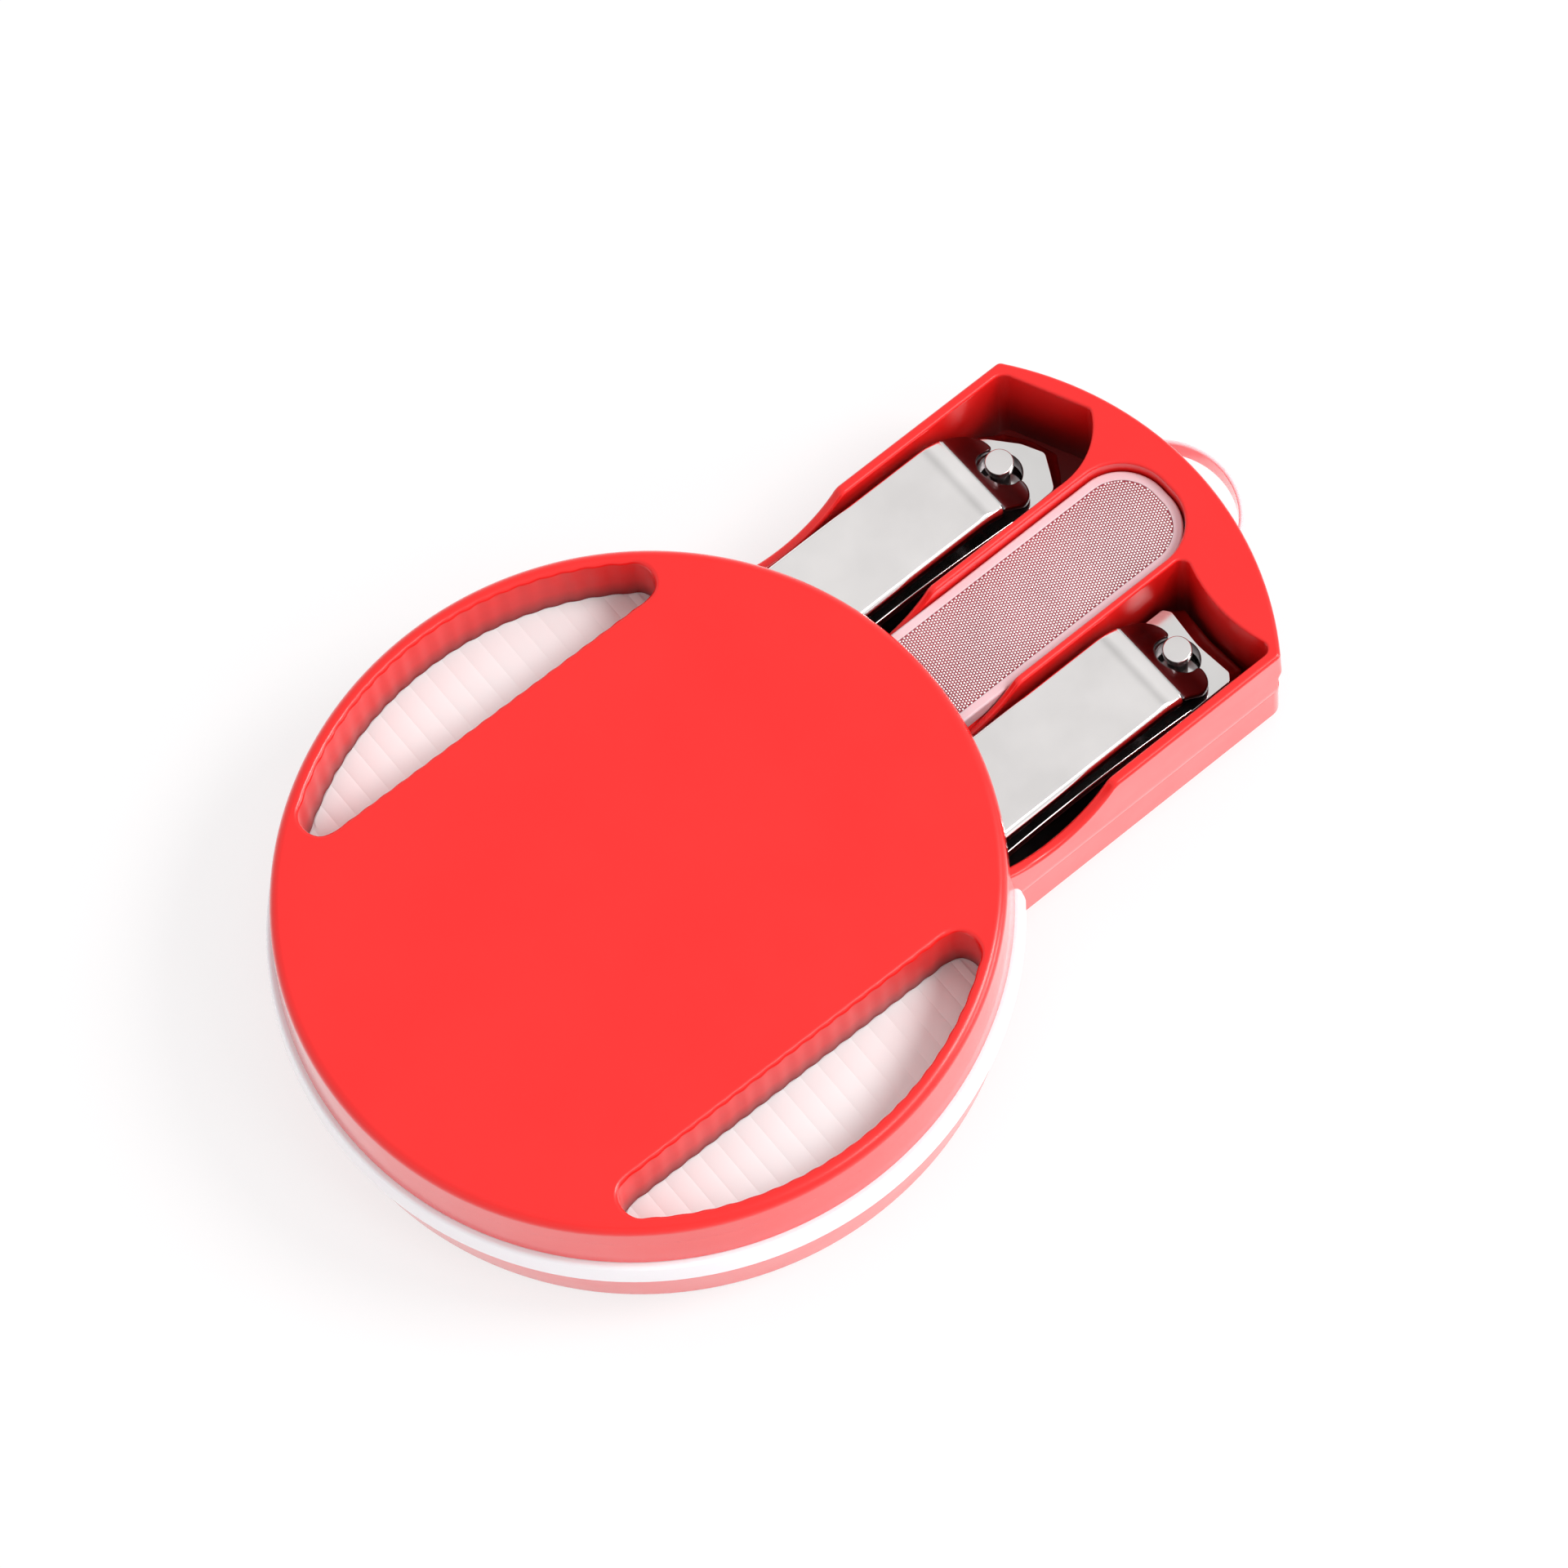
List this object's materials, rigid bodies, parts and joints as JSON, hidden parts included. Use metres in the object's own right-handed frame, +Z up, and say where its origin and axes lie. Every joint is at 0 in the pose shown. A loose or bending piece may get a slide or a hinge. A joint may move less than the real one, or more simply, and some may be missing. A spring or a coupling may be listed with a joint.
{
  "type": "manicure set case",
  "caption": "Flat round plastic case with a sliding tray that holds two nail clippers and a nail file, with a pull loop at the tray's end.",
  "frame": {"origin": "centre of the round case's base, on the surface that it stands on", "axes": "+Z up through the cover; +X the way the tray slides out; +Y to the left of the tray seen from behind"},
  "size_m": [0.1565, 0.1044, 0.025],
  "materials": {
    "red_case": "satin",
    "red_tray": "satin",
    "white_band": "satin",
    "loop_plastic": "translucent satin",
    "file_frame": "frosted",
    "file_mesh": "etched dots",
    "clipper_steel": "bright",
    "lever_steel": "satin",
    "pin_steel": "polished",
    "screw_steel": "zinc"
  },
  "bodies": {
    "case": {"base_shell": "red_case", "chassis": "white_band", "top_cover": "red_case", "case_screws": "screw_steel"},
    "tray": {"tray_upper": "red_tray", "tray_lower": "red_tray", "pull_loop": "loop_plastic", "tray_screws": "screw_steel", "file_body": "file_frame", "file_plate": "file_mesh", "left_lower_arm": "clipper_steel", "left_pin": "pin_steel", "left_tail_rivet": "pin_steel", "right_lower_arm": "clipper_steel", "right_pin": "pin_steel", "right_tail_rivet": "pin_steel"},
    "left_arm": {"left_upper_arm": "clipper_steel", "left_lever": "lever_steel"},
    "right_arm": {"right_upper_arm": "clipper_steel", "right_lever": "lever_steel"}
  },
  "joints": [
    {"name": "tray_slide", "type": "slide", "parent": "case", "child": "tray", "axis": [1, 0, 0], "range_m": [-0.0484, 0.018]},
    {"name": "left_squeeze", "type": "hinge", "parent": "tray", "child": "left_arm", "pos_m": [0.01721, 0.01982, 0.00845], "axis": [0, 1, 0], "range_deg": [0, 1], "stiffness_Nm_per_rad": 8},
    {"name": "right_squeeze", "type": "hinge", "parent": "tray", "child": "right_arm", "pos_m": [0.01721, -0.01833, 0.00845], "axis": [0, 1, 0], "range_deg": [0, 1], "stiffness_Nm_per_rad": 8}
  ]
}
